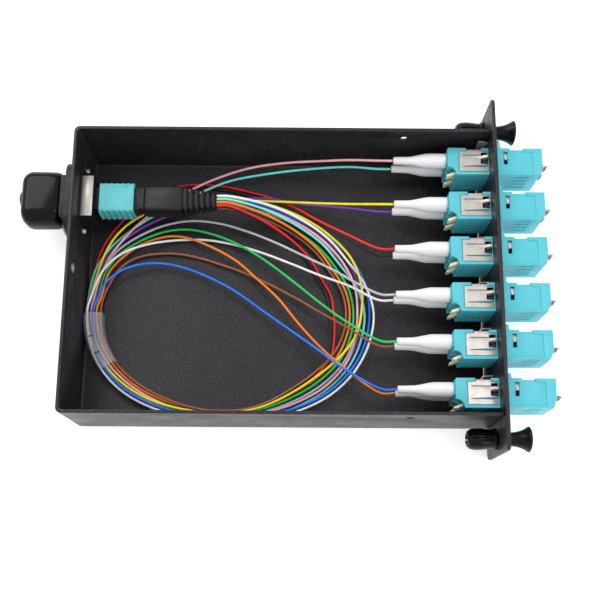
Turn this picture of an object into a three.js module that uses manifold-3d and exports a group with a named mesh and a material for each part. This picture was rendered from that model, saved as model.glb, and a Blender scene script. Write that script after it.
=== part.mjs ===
// Fibre breakout cassette with its lid off, in millimetres, +Z up.
// The origin is the centre of the tray's underside and +X points out through the front plate.
// A multi-fibre connector comes in through the rear wall. Its twelve fibres run once round the tray
// and fan out to six duplex adapters in the front plate.
import * as THREE from "three";
import { mergeVertices } from "three/addons/utils/BufferGeometryUtils.js";
import Module from "manifold-3d";

const wasm = await Module();
wasm.setup();

// Driving dimensions
const GAP = 0.3; // between pieces that touch on the real object
const TRAY = { back: -75.75, front: 75.75, halfWidth: 53, height: 27.5, sheet: 1.2, corner: 1.6 };
const LID_SCREW = { x: 44.5, z: 22, radius: 1.3 };
const REAR_HOLE = { y: 0.5, z: 22, radius: 1.2 };
const PLATE = { thick: 1.3, halfWidth: 64.75, height: 29, corner: 2 };
const PLATE_OUT = TRAY.front + PLATE.thick;

const PORTS = 6;
const PORT_PITCH = 17.5;
const PORT_Z = 14.5; // mid-height between the upper and the lower port
const PORT_RISE = 3.125; // each port's axis above or below that
const PORT_SHIFT = 1.7; // each port's axis from the adapter's centre, away from the latch
const ADAPTER = { x: 78.25, half: 17.5, halfWidth: 5.3, halfHeight: 6.5 };
const LATCH_CORNER = { inner: 3.8, outer: 1.2, y: -2.3 }; // cut back round the latch lever
const FLANGE = { thick: 1.6, halfWidth: 6, halfHeight: 11 };
const CAVITY = { low: -4.35, high: 4.25, halfHeight: 2.6, wall: 1.25 };
const FERRULE = { radius: 0.625, bore: 0.95 };

const HOUSING = { half: 2.25, back: 60.4, nose: 72 };
const BOOT = { start: 41, thin: 1.4, taper: 47.3, swell: 53.2, thick: 2.7 };
const LATCH = { root: 70, tip: 60.6, thick: 0.9, rootY: -0.85, tipY: -4.37, halfWidth: 1.5 };
const PLUG = { start: 84, grip: 98.2, web: 96.1 };

const TRUNK = { y: 30, z: 14 }; // axis of the multi-fibre connector
const TRUNK_FLANGE = { thick: 3.9, halfLong: 14, halfHigh: 6.6, holeSpan: 12, hole: 1.25 };
const TRUNK_BODY = { out: -82, in: -69.9, halfWidth: 8.2, halfHeight: 5.3 };
const CORE = { nose: -76, back: -51.5, halfWidth: 4.3, halfHeight: 2.7 };
const SLEEVE = { start: -67.8, end: -55.2, halfWidth: 6, halfHeight: 3.9 };
const TRUNK_BOOT = { start: -51.2, shoulder: -37.4, end: -25, halfWidth: 5, tipWidth: 2.75 };
const TRUNK_BOOT_HEIGHT = { half: 3.5, tip: 2.2 };
const CAP = { face: -96.5, open: -82.3, halfWidth: 10.7, halfHeight: 6, round: 4.6, nub: 3.5, nubEnd: -98 };

const PLUNGER = { y: 59, shaft: 1.4, neck: 2.3, flare: 4.45, proud: 10.9, tail: 67 };
const GROMMET = { start: 65.2, radius: 3.85, neck: 2.4, bore: 1.75, hole: 2.75 };

// The fibres: a 0.9 mm buffer each, leaving the trunk boot in four columns of three
const FIBRE = { radius: 0.45, exit: -24.7, end: 40.7, column: 1.3, row: 1.15, straight: 5 };
const SECTION_SIDES = 8;
const SECTIONS_PER_POINT = 1.5;
// They circle the tray once on an ellipse, from its top at 90 degrees round to 180 on the rear side
const LOOP = { x: -20.5, y: -9.5, halfX: 51.5, halfY: 39.5, step: 15, last: -180 };
const STATIONS = [90, 60, 30, 0, -45, -90, -135, -180];
// Each fibre's slot in the trunk boot, its distance outside the ellipse and its height at the stations
// after the first, then the points of its lead across the tray to its port, chosen by hand.
const ROUTES = {
  blue: {
    slot: [0, 2],
    offsets: [3, 3, 1.8, 3, 1, 2.4, -1.1],
    heights: [3.4, 2.85, 2.85, 3.95, 5.05, 6.15, 5.05],
    lead: [
      [-69.3, -4.3, 5.05], [-67.6, 0.2, 5.05], [-64.6, 3.7, 5.05], [-59.5, 7.1, 4.9],
      [-52, 9.2, 4.5], [-45.3, 9.3, 4.3], [-38.4, 7.9, 4.4], [-28.5, 4, 4.8],
      [-17.9, -1.9, 5.4], [-6.9, -10.2, 6.4], [3.7, -18.3, 8.2], [13.2, -26, 11],
      [21, -32.8, 14.2],
    ],
    port: [6, "upper"],
  },
  orange: {
    slot: [2, 0],
    offsets: [-2.6, -5.6, -5.6, -4.2, -1.67, -1.1, -2.3],
    heights: [6.6, 2.85, 2.85, 2.85, 2.85, 2.85, 4.83],
    lead: [
      [-68.4, -4.1, 4.3], [-66.2, 6.4, 3], [-61, 12.8, 2.85], [-55, 17.3, 2.9],
      [-48.6, 19.9, 3.2], [-42.8, 20.7, 3.9], [-36.8, 19.8, 4.4], [-28.9, 16.7, 4.8],
      [-18.2, 10.6, 5.2], [-9.8, 3.1, 5.4], [-1.7, -4.8, 5.9], [5.5, -14.2, 6.9],
      [13.2, -23.4, 8.4], [21.2, -31.1, 10],
    ],
    port: [6, "lower"],
  },
  green: {
    slot: [2, 1],
    offsets: [-2, -4.2, -4.2, -2.6, -0.65, 0.25, -1.75],
    heights: [5.2, 2.85, 2.85, 2.85, 2.85, 2.85, 2.85],
    lead: [
      [-69.9, -3.6, 2.85], [-67.6, 6.5, 2.85], [-63.1, 13.2, 2.85], [-57.8, 17.3, 2.85],
      [-50.8, 21.1, 2.9], [-43, 23.3, 3.3], [-35.1, 23.4, 3.7], [-25.1, 20.8, 4.2],
      [-16.5, 16.7, 4.8], [-7.2, 10.6, 5.8], [3.5, 1.6, 7.8], [13.9, -8, 10.6],
      [23.2, -16.1, 14],
    ],
    port: [5, "upper"],
  },
  brown: {
    slot: [3, 2],
    offsets: [-3.2, -7, -7, -6, -1.3, -2.3, -3.3],
    heights: [3.9, 2.85, 2.85, 3.95, 3.95, 3.95, 2.85],
    lead: [
      [-67.9, -3.6, 2.85], [-65.7, 2, 2.85], [-62.8, 7.1, 2.8], [-59.4, 10.5, 2.6],
      [-54.6, 12.9, 2.4], [-48.7, 14, 2.4], [-40.8, 14.1, 2.4], [-33, 12.7, 2.4],
      [-25, 10.2, 2.6], [-16.4, 7, 3], [-7.2, 2.7, 3.4], [5.2, -4.3, 4.6],
      [14, -10.2, 6.4], [23.9, -16.8, 9],
    ],
    port: [5, "lower"],
  },
  slate: {
    slot: [2, 2],
    offsets: [0.5, -0.8, -2.7, -0.8, 0.35, 1.3, -0.6],
    heights: [4.4, 2.85, 2.85, 2.85, 2.85, 2.85, 2.85],
    lead: [
      [-71.1, -3.6, 2.85], [-69, 6.5, 2.85], [-65, 13.4, 2.85], [-60.2, 17.9, 2.85],
      [-52.9, 22.5, 2.9], [-45.1, 25.8, 2.9], [-35.3, 27.4, 3.1], [-24.5, 26.1, 3.6],
      [-12.8, 22.1, 4.7], [-2, 17, 6.1], [8.7, 10.8, 8.3], [19.1, 4.2, 11.8],
      [26.2, -1.2, 14.7],
    ],
    port: [4, "upper"],
  },
  white: {
    slot: [0, 0],
    offsets: [1.7, 0.6, 3.3, 4.4, 2.2, 3.6, 1.2],
    heights: [8.6, 5.05, 3.95, 3.95, 5.05, 5.16, 5.11],
    lead: [
      [-72.1, -4.4, 5.05], [-69, 4.8, 5.05], [-64.7, 10.4, 5.05], [-59.1, 14.2, 5.05],
      [-52.3, 16.9, 4.5], [-44.8, 18.9, 3.3], [-37.1, 19.7, 2.85], [-29.1, 19.6, 2.8],
      [-18.2, 17.6, 3], [-7.3, 13.8, 4], [3.4, 9.1, 5.4], [14, 3.9, 7.4],
      [24.3, -0.8, 9.7],
    ],
    port: [4, "lower"],
  },
  red: {
    slot: [3, 0],
    offsets: [-6, -11, -11.6, -5, 0, 2.2, 1.7],
    heights: [5.6, 1.9, 1.75, 1.75, 1.75, 1.75, 1.75],
    lead: [
      [-73.9, -3.2, 1.75], [-72.2, 6.8, 1.75], [-69.5, 16.6, 1.75], [-63.9, 26, 1.75],
      [-56.1, 34.2, 1.75], [-48.5, 39.7, 1.75], [-38.9, 42.8, 1.75], [-24.3, 42.6, 1.8],
      [-14.4, 40.4, 1.9], [-4.9, 37.4, 2.6], [2.8, 33.5, 4.2], [13.2, 25.7, 8.2],
      [23.5, 18.1, 13.2],
    ],
    port: [3, "upper"],
  },
  black: {
    slot: [3, 1],
    offsets: [-6.3, -12.5, -13.2, -6.4, -1.2, 1, 0.5],
    heights: [3.6, 1.75, 1.75, 1.75, 1.75, 1.75, 1.75],
    lead: [
      [-72.7, -3.2, 1.75], [-70.9, 7.3, 1.75], [-67.8, 16.9, 1.75], [-62.6, 24.7, 1.75],
      [-55.6, 32.5, 1.75], [-48.1, 38, 1.75], [-38.4, 41.2, 1.75], [-24.3, 41.1, 1.8],
      [-14.3, 38.7, 1.9], [-5.4, 35.8, 2.4], [3.2, 31.9, 3.6], [14, 25.1, 6.4],
      [23.7, 18.3, 9.2],
    ],
    port: [3, "lower"],
  },
  yellow: {
    slot: [0, 1],
    offsets: [3, 2, -1.4, -4, -0.5, 1.2, 1.4],
    heights: [7.4, 6.15, 6.15, 6.15, 5.05, 5.05, 3.95],
    lead: [
      [-72.6, -4, 3.95], [-70.5, 5.2, 3.95], [-67.8, 13.8, 4.1], [-64.2, 20.3, 4.4],
      [-58.9, 25.5, 5.1], [-49.5, 30.8, 5.5], [-36.1, 33.9, 5.2], [-22.7, 35.4, 5],
      [-11.1, 35, 5.2], [-4.5, 34.4, 5.8], [4.4, 33.4, 7.4], [14.6, 31.6, 10.4],
      [25, 29.7, 13.9],
    ],
    port: [2, "upper"],
  },
  violet: {
    slot: [1, 2],
    offsets: [1.8, 0.8, -1.5, 0.4, 1.35, 2.35, 0.55],
    heights: [4.2, 2.85, 2.85, 2.85, 2.85, 2.85, 2.85],
    lead: [
      [-72.3, -3.6, 2.85], [-70.4, 6.4, 2.85], [-66.7, 13.3, 2.85], [-62.5, 18.3, 2.85],
      [-55.8, 23.7, 2.85], [-48.4, 27.9, 2.85], [-36.4, 32.5, 2.95], [-22.9, 36, 3.3],
      [-11.2, 36.6, 4], [-3.4, 35.8, 4.6], [6.3, 33.5, 5.8], [17.3, 31.5, 7.9],
      [27.5, 29.5, 10.2],
    ],
    port: [2, "lower"],
  },
  rose: {
    slot: [1, 1],
    offsets: [0.3, -1.3, -2.9, 0.6, 0.6, 0, -0.1],
    heights: [6.9, 5.05, 5.05, 3.95, 3.95, 3.95, 3.95],
    lead: [
      [-71.1, -4, 3.95], [-69, 5.2, 3.95], [-65.6, 12.9, 3.95], [-60.8, 19.9, 3.95],
      [-54.5, 26.9, 3.9], [-46, 33.6, 3.9], [-34.9, 40.4, 4.2], [-24.1, 45, 5.2],
      [-13.1, 47.5, 7.4], [-0, 48.1, 10.4], [13.9, 47.2, 13.8], [25, 46.4, 16.2],
    ],
    port: [1, "upper"],
  },
  aqua: {
    slot: [1, 0],
    offsets: [-1, -2.4, -0.2, 1.7, 2.35, 3.4, 1.7],
    heights: [8, 3.95, 3.95, 2.85, 2.85, 2.85, 2.85],
    lead: [
      [-73.5, -3.6, 2.85], [-71.8, 6.4, 2.85], [-68.3, 13.3, 2.85], [-64.4, 18.3, 2.85],
      [-58.1, 23.9, 2.85], [-51, 29.1, 2.85], [-42.3, 34.6, 2.9], [-31.1, 39.6, 3.6],
      [-21.4, 43.3, 4.6], [-7.6, 45.4, 6.4], [8.6, 46.4, 8.8], [24.7, 46.5, 10.8],
    ],
    port: [1, "lower"],
  },
};

const COLOURS = {
  black: 0x141519,
  blue: 0x1d6fc4,
  orange: 0xf08024,
  green: 0x2f9e4e,
  brown: 0x8a5a38,
  slate: 0x7c8790,
  white: 0xe9ebee,
  red: 0xd5344a,
  yellow: 0xf2cf3a,
  violet: 0x8a63b8,
  rose: 0xf39ab0,
  aqua: 0x4fc7cf,
};

function finish(color, roughness, metalness = 0) {
  return new THREE.MeshStandardMaterial({ color, roughness, metalness });
}

const POWDER_COAT = finish(0x1d1b20, 0.55, 0.2);
const AQUA_PLASTIC = finish(0x4fc3cd, 0.42);
const WHITE_BOOT = finish(0xe6e6ea, 0.6);
const IVORY = finish(0xe8dcb4, 0.5);
const CLEAR_PLUG = finish(0xb9bdbb, 0.45);
const BLACK_PLASTIC = finish(0x121214, 0.45);
const BLACK_RUBBER = finish(0x0c0c0e, 0.3);
const CLEAR_FILM = finish(0xd8dde2, 0.15);

// Geometry helpers

function solid(geometry) {
  const bare = geometry.clone();
  bare.deleteAttribute("normal");
  bare.deleteAttribute("uv");
  const merged = mergeVertices(bare, 1e-4);
  return new wasm.Manifold(
    new wasm.Mesh({
      numProp: 3,
      vertProperties: merged.attributes.position.array,
      triVerts: new Uint32Array(merged.index.array),
    }),
  );
}

function geometryOf(manifold) {
  const mesh = manifold.getMesh();
  const indexed = new THREE.BufferGeometry();
  indexed.setAttribute("position", new THREE.BufferAttribute(mesh.vertProperties, 3));
  indexed.setIndex(new THREE.BufferAttribute(mesh.triVerts, 1));
  const flat = indexed.toNonIndexed();
  flat.computeVertexNormals();
  return flat;
}

function join(geometries) {
  return geometries.map(solid).reduce((a, b) => a.add(b));
}

function carve(body, geometries) {
  return geometries.map(solid).reduce((left, tool) => left.subtract(tool), body);
}

function box([x0, y0, z0], [x1, y1, z1]) {
  const block = new THREE.BoxGeometry(x1 - x0, y1 - y0, z1 - z0);
  return block.translate((x0 + x1) / 2, (y0 + y1) / 2, (z0 + z1) / 2);
}

// A block along X, centred on y and z
function bar(x0, x1, y, z, halfY, halfZ) {
  return box([x0, y - halfY, z - halfZ], [x1, y + halfY, z + halfZ]);
}

// An outline in X and Y, raised from z0 to z1
function slab(points, z0, z1) {
  const shape = new THREE.Shape(points.map(([x, y]) => new THREE.Vector2(x, y)));
  return new THREE.ExtrudeGeometry(shape, { depth: z1 - z0, bevelEnabled: false }).translate(0, 0, z0);
}

// A rectangle in Y and Z with its corners rounded, run along X from x0 to x1
function roundedBar(x0, x1, y, z, halfY, halfZ, radius, cornerSteps = 3) {
  const shape = new THREE.Shape();
  for (const [sy, sz, start] of [
    [1, 1, 0],
    [-1, 1, 0.5],
    [-1, -1, 1],
    [1, -1, 1.5],
  ])
    shape.absarc(
      sy * (halfY - radius),
      sz * (halfZ - radius),
      radius,
      start * Math.PI,
      (start + 0.5) * Math.PI,
    );
  const run = new THREE.ExtrudeGeometry(shape, {
    depth: x1 - x0,
    bevelEnabled: false,
    curveSegments: cornerSteps,
  });
  // Shape x, y and depth become Y, Z and X
  const turn = new THREE.Matrix4().makeBasis(
    new THREE.Vector3(0, 1, 0),
    new THREE.Vector3(0, 0, 1),
    new THREE.Vector3(1, 0, 0),
  );
  return run.applyMatrix4(turn).translate(x0, y, z);
}

// A profile of [x, radius] pairs turned about a line along X
function turned(profile, y, z, sides) {
  const points = profile.map(([x, r]) => new THREE.Vector2(r, x));
  return new THREE.LatheGeometry(points, sides).rotateZ(-Math.PI / 2).translate(0, y, z);
}

function rod(x0, x1, radius, y, z, sides = 10) {
  return turned(
    [
      [x0, 0],
      [x0, radius],
      [x1, radius],
      [x1, 0],
    ],
    y,
    z,
    sides,
  );
}

// Assembly

const cassette = new THREE.Group();

function addPiece(name, geometry, material) {
  const mesh = new THREE.Mesh(geometry, material);
  mesh.name = name;
  cassette.add(mesh);
}

const portCentres = Array.from({ length: PORTS }, (_, i) => PORT_PITCH * ((PORTS - 1) / 2 - i));
const LEVELS = { upper: PORT_Z + PORT_RISE, lower: PORT_Z - PORT_RISE };

function addTray() {
  const { back, halfWidth, height, sheet, corner } = TRAY;
  const front = TRAY.front - GAP;
  const outer = [
    [back + corner, -halfWidth],
    [front, -halfWidth],
    [front, halfWidth],
    [back + corner, halfWidth],
    [back, halfWidth - corner],
    [back, corner - halfWidth],
  ];
  const inside = outer.map(([x, y]) => [
    x < front ? x + sheet : front + 1,
    Math.sign(y) * (Math.abs(y) - sheet),
  ]);
  const across = new THREE.CylinderGeometry(LID_SCREW.radius, LID_SCREW.radius, 2 * halfWidth + 2, 12);
  const tray = carve(solid(slab(outer, 0, height)), [
    slab(inside, sheet, height + 1),
    across.translate(LID_SCREW.x, 0, LID_SCREW.z),
    rod(back - 1, back + sheet + 1, REAR_HOLE.radius, REAR_HOLE.y, REAR_HOLE.z),
    bar(
      back - 1,
      back + sheet + 1,
      TRUNK.y,
      TRUNK.z,
      TRUNK_BODY.halfWidth + GAP,
      TRUNK_BODY.halfHeight + GAP,
    ),
    ...[-1, 1].map((side) =>
      rod(back - 1, back + sheet + 1, TRUNK_FLANGE.hole, TRUNK.y + side * TRUNK_FLANGE.holeSpan, TRUNK.z),
    ),
  ]);
  addPiece("tray", geometryOf(tray), POWDER_COAT);
}

function addFrontPlate() {
  const { halfWidth, height, corner } = PLATE;
  const blank = roundedBar(TRAY.front, PLATE_OUT, 0, height / 2, halfWidth, height / 2, corner);
  const windows = portCentres.map((y) =>
    bar(
      TRAY.front - 1,
      PLATE_OUT + 1,
      y,
      PORT_Z,
      ADAPTER.halfWidth + GAP,
      ADAPTER.halfHeight + GAP,
    ),
  );
  const holes = [-1, 1].map((side) =>
    rod(TRAY.front - 1, PLATE_OUT + 1, GROMMET.hole, side * PLUNGER.y, PORT_Z, 12),
  );
  addPiece("front_plate", geometryOf(carve(solid(blank), [...windows, ...holes])), POWDER_COAT);
}

function addAdapter(number, y) {
  const { x, half, halfWidth, halfHeight } = ADAPTER;
  const outline = [
    [x - half, y + LATCH_CORNER.y],
    [x - half + LATCH_CORNER.inner, y - halfWidth],
    [x + half - LATCH_CORNER.outer, y - halfWidth],
    [x + half, y + LATCH_CORNER.y],
    [x + half, y + halfWidth],
    [x - half, y + halfWidth],
  ];
  const flangeBack = PLATE_OUT + GAP;
  const body = join([
    slab(outline, PORT_Z - halfHeight, PORT_Z + halfHeight),
    bar(flangeBack, flangeBack + FLANGE.thick, y, PORT_Z, FLANGE.halfWidth, FLANGE.halfHeight),
  ]);
  const hollows = Object.values(LEVELS).flatMap((z) => [
    box(
      [x - half - 1, y + CAVITY.low, z - CAVITY.halfHeight],
      [x - CAVITY.wall, y + CAVITY.high, z + CAVITY.halfHeight],
    ),
    box(
      [x + CAVITY.wall, y + CAVITY.low, z - CAVITY.halfHeight],
      [x + half + 1, y + CAVITY.high, z + CAVITY.halfHeight],
    ),
    rod(x - CAVITY.wall - 1, x + CAVITY.wall + 1, FERRULE.bore, y + PORT_SHIFT, z, 8),
  ]);
  addPiece(`adapter_body_${number}`, geometryOf(carve(body, hollows)), AQUA_PLASTIC);
}

function addConnector(label, y, z) {
  const axis = y + PORT_SHIFT;
  const boot = turned(
    [
      [BOOT.start, 0],
      [BOOT.start, BOOT.thin],
      [BOOT.taper, BOOT.thin],
      [BOOT.swell, BOOT.thick],
      [HOUSING.back, BOOT.thick],
      [HOUSING.back, 0],
    ],
    axis,
    z,
    12,
  );
  const connector = join([
    boot,
    bar(HOUSING.back - 0.2, HOUSING.nose, axis, z, HOUSING.half, HOUSING.half),
    rod(HOUSING.nose - 0.2, ADAPTER.x - 0.6, FERRULE.radius, axis, z, 8),
  ]);
  addPiece(`lc_connector_${label}`, geometryOf(connector), WHITE_BOOT);

  const { root, tip, thick, rootY, tipY, halfWidth } = LATCH;
  const lever = slab(
    [
      [tip, y + tipY - thick],
      [root, y + rootY - thick],
      [root, y + rootY],
      [tip, y + tipY],
    ],
    z - halfWidth,
    z + halfWidth,
  );
  addPiece(`lc_latch_${label}`, lever, IVORY);
}

// One plug closes both outer ports of an adapter: two posts, a pull tab on each and a web between them
function addDustPlug(number, y) {
  const outerFace = ADAPTER.x + ADAPTER.half;
  const zs = Object.values(LEVELS);
  const plug = join([
    ...zs.map((z) => bar(PLUG.start, outerFace, y + PORT_SHIFT, z, HOUSING.half, HOUSING.half)),
    ...zs.map((z) => box([PLUG.web - 2.6, y - 2.2, z - 1.2], [PLUG.grip, y - 0.2, z + 1.2])),
    box([PLUG.web, y - 1.9, LEVELS.lower], [PLUG.web + 1.1, y - 0.5, LEVELS.upper]),
  ]);
  addPiece(`dust_plug_${number}`, geometryOf(plug), CLEAR_PLUG);
}

function addTrunkConnector() {
  const { y, z } = TRUNK;
  const flangeIn = TRAY.back - GAP;
  const { thick, halfLong, halfHigh } = TRUNK_FLANGE;
  const adapter = carve(
    join([
      roundedBar(flangeIn - thick, flangeIn, y, z, halfLong, halfHigh, halfHigh - 0.5),
      bar(TRUNK_BODY.out, TRUNK_BODY.in, y, z, TRUNK_BODY.halfWidth, TRUNK_BODY.halfHeight),
    ]),
    [
      bar(CORE.nose - 0.6, TRUNK_BODY.in + 1, y, z, CORE.halfWidth + 0.4, CORE.halfHeight + 0.4),
      bar(TRUNK_BODY.out - 1, CORE.nose - 1.8, y, z, CORE.halfWidth + 0.4, CORE.halfHeight + 0.4),
      bar(CORE.nose - 2, CORE.nose, y, z, 3.2, 1.2),
    ],
  );
  addPiece("trunk_adapter", geometryOf(adapter), BLACK_PLASTIC);

  const core = bar(CORE.nose, CORE.back, y, z, CORE.halfWidth, CORE.halfHeight);
  addPiece("trunk_connector", core, BLACK_PLASTIC);

  const sleeve = carve(
    solid(roundedBar(SLEEVE.start, SLEEVE.end, y, z, SLEEVE.halfWidth, SLEEVE.halfHeight, 1.2, 2)),
    [bar(SLEEVE.start - 1, SLEEVE.end + 1, y, z, CORE.halfWidth + GAP, CORE.halfHeight + GAP)],
  );
  addPiece("trunk_sleeve", geometryOf(sleeve), AQUA_PLASTIC);

  const { start, shoulder, end, halfWidth, tipWidth } = TRUNK_BOOT;
  const plan = [
    [start, y - halfWidth],
    [shoulder, y - halfWidth],
    [end, y - tipWidth],
    [end, y + tipWidth],
    [shoulder, y + halfWidth],
    [start, y + halfWidth],
  ];
  const side = [
    [start, -TRUNK_BOOT_HEIGHT.half],
    [shoulder, -TRUNK_BOOT_HEIGHT.half],
    [end, -TRUNK_BOOT_HEIGHT.tip],
    [end, TRUNK_BOOT_HEIGHT.tip],
    [shoulder, TRUNK_BOOT_HEIGHT.half],
    [start, TRUNK_BOOT_HEIGHT.half],
  ];
  const sideWedge = slab(side, -2 * halfWidth, 2 * halfWidth).rotateX(Math.PI / 2).translate(0, y, z);
  const boot = solid(slab(plan, z - 4, z + 4)).intersect(solid(sideWedge));
  addPiece("trunk_boot", geometryOf(boot), BLACK_PLASTIC);

  const cap = join([
    roundedBar(CAP.face, CAP.open, y, z, CAP.halfWidth, CAP.halfHeight, CAP.round, 4),
    rod(CAP.nubEnd, CAP.face + 0.5, CAP.nub, y, z),
    bar(CAP.open - 0.5, CORE.nose - 2.4, y, z, CORE.halfWidth, CORE.halfHeight),
  ]);
  addPiece("trunk_dust_cap", geometryOf(cap), BLACK_RUBBER);
}

function addPlunger(label, y) {
  const knobStart = PLATE_OUT + GAP;
  const knobEnd = knobStart + PLUNGER.proud;
  const knob = turned(
    [
      [PLUNGER.tail, 0],
      [PLUNGER.tail, PLUNGER.shaft],
      [knobStart, PLUNGER.shaft],
      [knobStart, PLUNGER.neck],
      [knobStart + 4, PLUNGER.neck + 0.1],
      [knobEnd - 3.6, PLUNGER.neck + 0.9],
      [knobEnd - 1.6, PLUNGER.flare - 0.6],
      [knobEnd - 0.7, PLUNGER.flare],
      [knobEnd, PLUNGER.flare - 0.5],
      [knobEnd, 0],
    ],
    y,
    PORT_Z,
    14,
  );
  addPiece(`plunger_${label}`, knob, BLACK_PLASTIC);

  const { start, radius, neck, bore } = GROMMET;
  const shoulder = TRAY.front - GAP;
  const grommet = turned(
    [
      [start, bore],
      [start, radius - 1.2],
      [start + 1.4, radius],
      [shoulder, radius],
      [shoulder, neck],
      [PLATE_OUT, neck],
      [PLATE_OUT, bore],
      [start, bore],
    ],
    y,
    PORT_Z,
    14,
  );
  addPiece(`grommet_${label}`, grommet, BLACK_PLASTIC);
}

// Fibre routes

function ease(t) {
  return (1 - Math.cos(Math.PI * t)) / 2;
}

// The value at an angle, between the values given at the stations
function atStation(values, angle) {
  const after = Math.max(1, STATIONS.findIndex((station) => station <= angle));
  const [from, to] = [STATIONS[after - 1], STATIONS[after]];
  return THREE.MathUtils.lerp(values[after - 1], values[after], ease((from - angle) / (from - to)));
}

function onLoop(angle, offset, z) {
  const a = THREE.MathUtils.degToRad(angle);
  return new THREE.Vector3(
    LOOP.x + (LOOP.halfX + offset) * Math.cos(a),
    LOOP.y + (LOOP.halfY + offset) * Math.sin(a),
    z,
  );
}

function routePoints({ slot: [column, row], offsets, heights, lead, port: [number, level] }) {
  const startOffset = (1.5 - column) * FIBRE.column;
  const startHeight = TRUNK.z + (1 - row) * FIBRE.row;
  const points = [new THREE.Vector3(FIBRE.exit, TRUNK.y + startOffset, startHeight)];
  for (let angle = STATIONS[0]; angle >= LOOP.last; angle -= LOOP.step)
    points.push(
      onLoop(
        angle,
        atStation([startOffset, ...offsets], angle),
        atStation([startHeight, ...heights], angle),
      ),
    );
  for (const [x, y, z] of lead) points.push(new THREE.Vector3(x, y, z));
  for (const x of [FIBRE.end - FIBRE.straight, FIBRE.end])
    points.push(new THREE.Vector3(x, portCentres[number - 1] + PORT_SHIFT, LEVELS[level]));
  return points;
}

// Sections lie at equal steps of the curve's own parameter, so that bends, which have more points,
// get more sections.
class Route extends THREE.CatmullRomCurve3 {
  getSpacedPoints(count) {
    return this.getPoints(count);
  }
  getTangentAt(t, target) {
    return this.getTangent(t, target);
  }
}

function addFibre(name, route) {
  const points = routePoints(route);
  const outline = Array.from({ length: SECTION_SIDES }, (_, i) => {
    const a = (2 * Math.PI * i) / SECTION_SIDES;
    return new THREE.Vector2(FIBRE.radius * Math.cos(a), FIBRE.radius * Math.sin(a));
  });
  const tube = new THREE.ExtrudeGeometry(new THREE.Shape(outline), {
    steps: Math.round(SECTIONS_PER_POINT * (points.length - 1)),
    extrudePath: new Route(points),
    bevelEnabled: false,
  });
  addPiece(`fibre_${name}`, tube, finish(COLOURS[name], 0.4));
}

// A clear film drawn over the bundle where it passes the rear corner, open towards the floor
const WRAP = { from: -178, to: -147, offsetFrom: -1.15, offsetTo: 0.35, half: 3.5, film: 0.15 };
const WRAP_HEIGHT = { foot: 1.5, top: 6.85, round: 1.6 };

function addWrap() {
  const { half, film } = WRAP;
  const { foot, top, round } = WRAP_HEIGHT;
  const arch = (side, roof) => [
    [foot, -side],
    [roof - round, -side],
    [roof, round - side],
    [roof, side - round],
    [roof - round, side],
    [foot, side],
  ];
  const section = [...arch(half + film, top + film), ...arch(half, top).reverse()];
  const path = Array.from({ length: 8 }, (_, i) => {
    const t = i / 7;
    return onLoop(
      THREE.MathUtils.lerp(WRAP.from, WRAP.to, t),
      THREE.MathUtils.lerp(WRAP.offsetFrom, WRAP.offsetTo, t),
      0,
    );
  });
  const film3d = new THREE.ExtrudeGeometry(
    new THREE.Shape(section.map(([z, side]) => new THREE.Vector2(-z, side))),
    { steps: 9, extrudePath: new THREE.CatmullRomCurve3(path), bevelEnabled: false },
  );
  addPiece("fibre_wrap", film3d, CLEAR_FILM);
}

addTray();
addFrontPlate();
portCentres.forEach((y, i) => {
  const number = i + 1;
  addAdapter(number, y);
  for (const [level, z] of Object.entries(LEVELS)) addConnector(`${number}_${level}`, y, z);
  addDustPlug(number, y);
});
addTrunkConnector();
addPlunger("far", PLUNGER.y);
addPlunger("near", -PLUNGER.y);
for (const [name, route] of Object.entries(ROUTES)) addFibre(name, route);
addWrap();

export default cassette;
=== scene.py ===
"""Looks of a fibre breakout cassette with its lid off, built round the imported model.

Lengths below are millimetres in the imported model's frame, and become metres where an object is made.
X points out through the front plate and Z up.
"""
import math

import bpy
import bmesh
from mathutils import Matrix, Vector


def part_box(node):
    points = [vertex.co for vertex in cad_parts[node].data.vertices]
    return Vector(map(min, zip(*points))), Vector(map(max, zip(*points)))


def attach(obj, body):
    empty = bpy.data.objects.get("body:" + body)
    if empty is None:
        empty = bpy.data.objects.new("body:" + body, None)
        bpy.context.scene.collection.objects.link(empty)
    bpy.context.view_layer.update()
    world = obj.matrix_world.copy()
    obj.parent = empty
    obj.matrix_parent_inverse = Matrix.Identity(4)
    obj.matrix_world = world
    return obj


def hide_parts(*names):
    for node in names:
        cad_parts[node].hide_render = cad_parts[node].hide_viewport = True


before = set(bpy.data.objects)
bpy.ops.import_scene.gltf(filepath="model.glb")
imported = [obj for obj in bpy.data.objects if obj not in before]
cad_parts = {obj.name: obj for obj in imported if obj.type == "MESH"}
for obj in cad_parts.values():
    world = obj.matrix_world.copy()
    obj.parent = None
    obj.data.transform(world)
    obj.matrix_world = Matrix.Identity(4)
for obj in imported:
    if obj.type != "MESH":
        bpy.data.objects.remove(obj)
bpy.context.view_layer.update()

MM = 0.001
ROOT = "housing"
PORTS = 6
PORT_PITCH = 17.5
PORT_SHIFT = 1.7  # each port's axis from its adapter's centre, away from the latch
PORT_Z = 14.5
LEVELS = {"upper": PORT_Z + 3.125, "lower": PORT_Z - 3.125}
TRUNK_Y, TRUNK_Z = 30, 14  # the multi-fibre connector's axis
FLANGE_SCREW_SPAN = 12  # the rear adapter's screws, either side of that axis
SHEET = 1.2  # the tray's steel
REAR_HOLE_Y, REAR_HOLE_Z = 0.5, 22
PLUNGER_Y = 59
PLATE_FRONT = 77.35  # where the adapters' flanges and the plungers' knobs start
FAR_AND_NEAR = (("far", 1), ("near", -1))


def cad(node):
    """The CAD node's lowest and highest corners in millimetres."""
    low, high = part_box(node)
    return low / MM, high / MM


# ---------------------------------------------------------------- camera


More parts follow.
